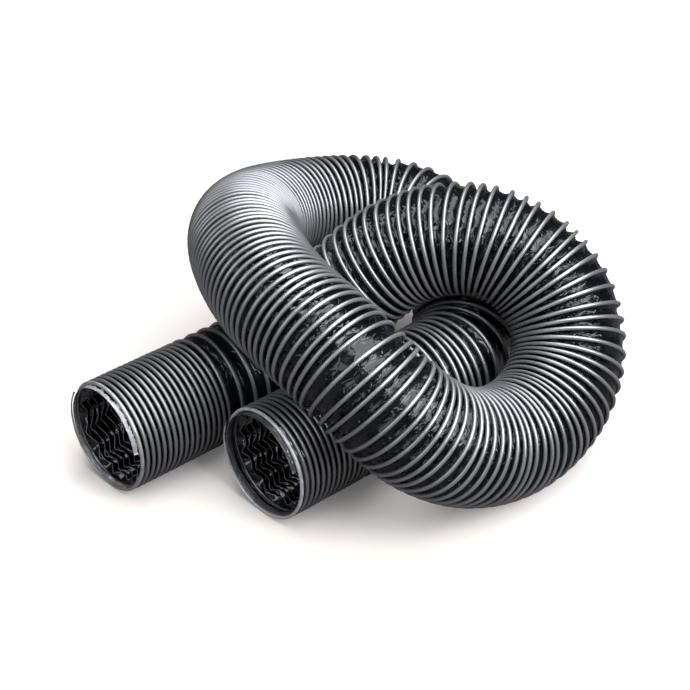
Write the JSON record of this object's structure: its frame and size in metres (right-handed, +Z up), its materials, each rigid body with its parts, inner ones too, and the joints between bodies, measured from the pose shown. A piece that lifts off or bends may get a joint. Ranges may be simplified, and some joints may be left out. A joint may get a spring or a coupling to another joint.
{
  "type": "flexible air duct",
  "caption": "Wire-reinforced flexible air duct with a folded film wall, laid in a loose knot, with both round ends open to push over a duct collar.",
  "frame": {"origin": "middle of the hose's outline on the floor, at floor height", "axes": "+Z up; +X along the length of the lay, from the mouth of end A towards the arch; +Y from the mouths towards the back tube"},
  "size_m": [0.3366, 0.3123, 0.1561],
  "materials": {
    "hose": "gloss beads over dark film folds",
    "film": "glossy crinkled film",
    "bead": "gloss",
    "wire": "bright drawn wire"
  },
  "bodies": {
    "pile": {"hose_rise": "hose", "hose_arch_up": "hose", "hose_arch_down": "hose", "hose_loop": "hose", "hose_limb_low": "hose", "hose_limb_high": "hose", "hose_turn": "hose", "hose_back": "hose", "hose_drop": "hose", "hose_return": "hose", "neck_a": "hose", "neck_b": "hose"},
    "end_a": {"shank_a": "hose", "gather_a": "hose"},
    "mouth_a": {"mouth_film_a": "film", "mouth_bead_a": "bead", "wire_tip_a": "wire"},
    "end_b": {"shank_b": "hose", "gather_b": "hose"},
    "mouth_b": {"mouth_film_b": "film", "mouth_bead_b": "bead", "wire_tip_b": "wire"}
  },
  "joints": [
    {"name": "end_a_bend", "type": "hinge", "parent": "pile", "child": "end_a", "pos_m": [-0.08251, -0.02026, 0.03507], "axis": [0, 0, 1], "range_deg": [-30, 2], "deforming": ["neck_a"]},
    {"name": "end_a_stretch", "type": "slide", "parent": "end_a", "child": "mouth_a", "axis": [-0.7431, -0.6691, 0], "range_m": [0, 0.075], "deforming": ["gather_a"]},
    {"name": "end_b_bend", "type": "hinge", "parent": "pile", "child": "end_b", "pos_m": [-0.00298, -0.05939, 0.03507], "axis": [0, 0, 1], "range_deg": [-3, 3], "deforming": ["neck_b"]},
    {"name": "end_b_stretch", "type": "slide", "parent": "end_b", "child": "mouth_b", "axis": [-0.7431, -0.6691, 0], "range_m": [0, 0.06], "deforming": ["gather_b"]}
  ]
}
